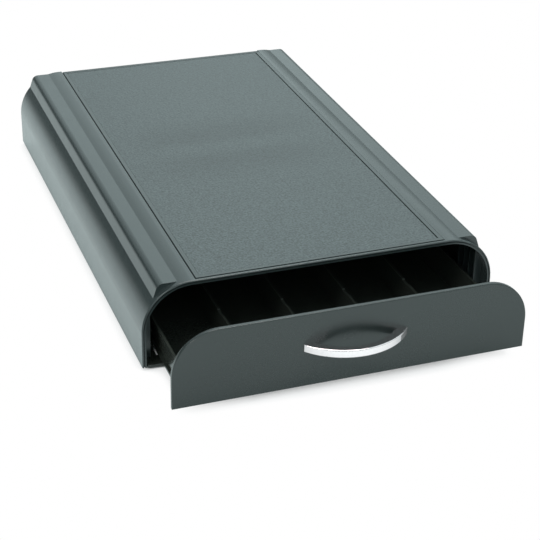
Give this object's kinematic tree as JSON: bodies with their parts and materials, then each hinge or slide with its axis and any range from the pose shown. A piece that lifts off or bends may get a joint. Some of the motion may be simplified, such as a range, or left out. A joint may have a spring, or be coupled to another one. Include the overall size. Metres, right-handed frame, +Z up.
{
  "type": "coffee pod drawer",
  "caption": "Low storage drawer for coffee capsules: an open-fronted moulded housing with rounded top corners and a mat on top, and a sliding tray with lanes and a bow handle.",
  "frame": {"origin": "middle of the whole object's bounding box, on the plane of the feet's undersides, with the drawer 51.5 mm open", "axes": "+X to the right seen from the front, +Y from the drawer's front panel to the back wall, +Z up"},
  "size_m": [0.228, 0.4192, 0.056],
  "materials": {
    "housing": "dark grey moulded plastic, semi-gloss",
    "top_plate": "dark grey moulded plastic, satin",
    "grip_mat": "dark grey, fine leather-like grain",
    "base": "near-black moulded plastic, satin",
    "tray": "near-black moulded plastic, gloss",
    "panel": "dark grey moulded plastic, satin gloss",
    "handle_chrome": "bright chrome plating",
    "screw_steel": "plain zinc-plated steel",
    "foot_rubber": "black rubber"
  },
  "bodies": {
    "housing": {"housing_shell": "housing", "top_plate": "top_plate", "grip_mat": "grip_mat", "base_plate": "base", "base_screws": "screw_steel", "foot_front_left": "foot_rubber", "foot_front_right": "foot_rubber", "foot_rear_left": "foot_rubber", "foot_rear_right": "foot_rubber"},
    "drawer": {"drawer_tray": "tray", "divider_1": "tray", "divider_2": "tray", "divider_3": "tray", "divider_4": "tray", "front_panel": "panel", "panel_screws": "screw_steel", "handle": "handle_chrome", "handle_screws": "screw_steel"}
  },
  "joints": [
    {"name": "drawer_slide", "type": "slide", "parent": "housing", "child": "drawer", "axis": [0, -1, 0], "range_m": [-0.0515, 0.2185]}
  ]
}
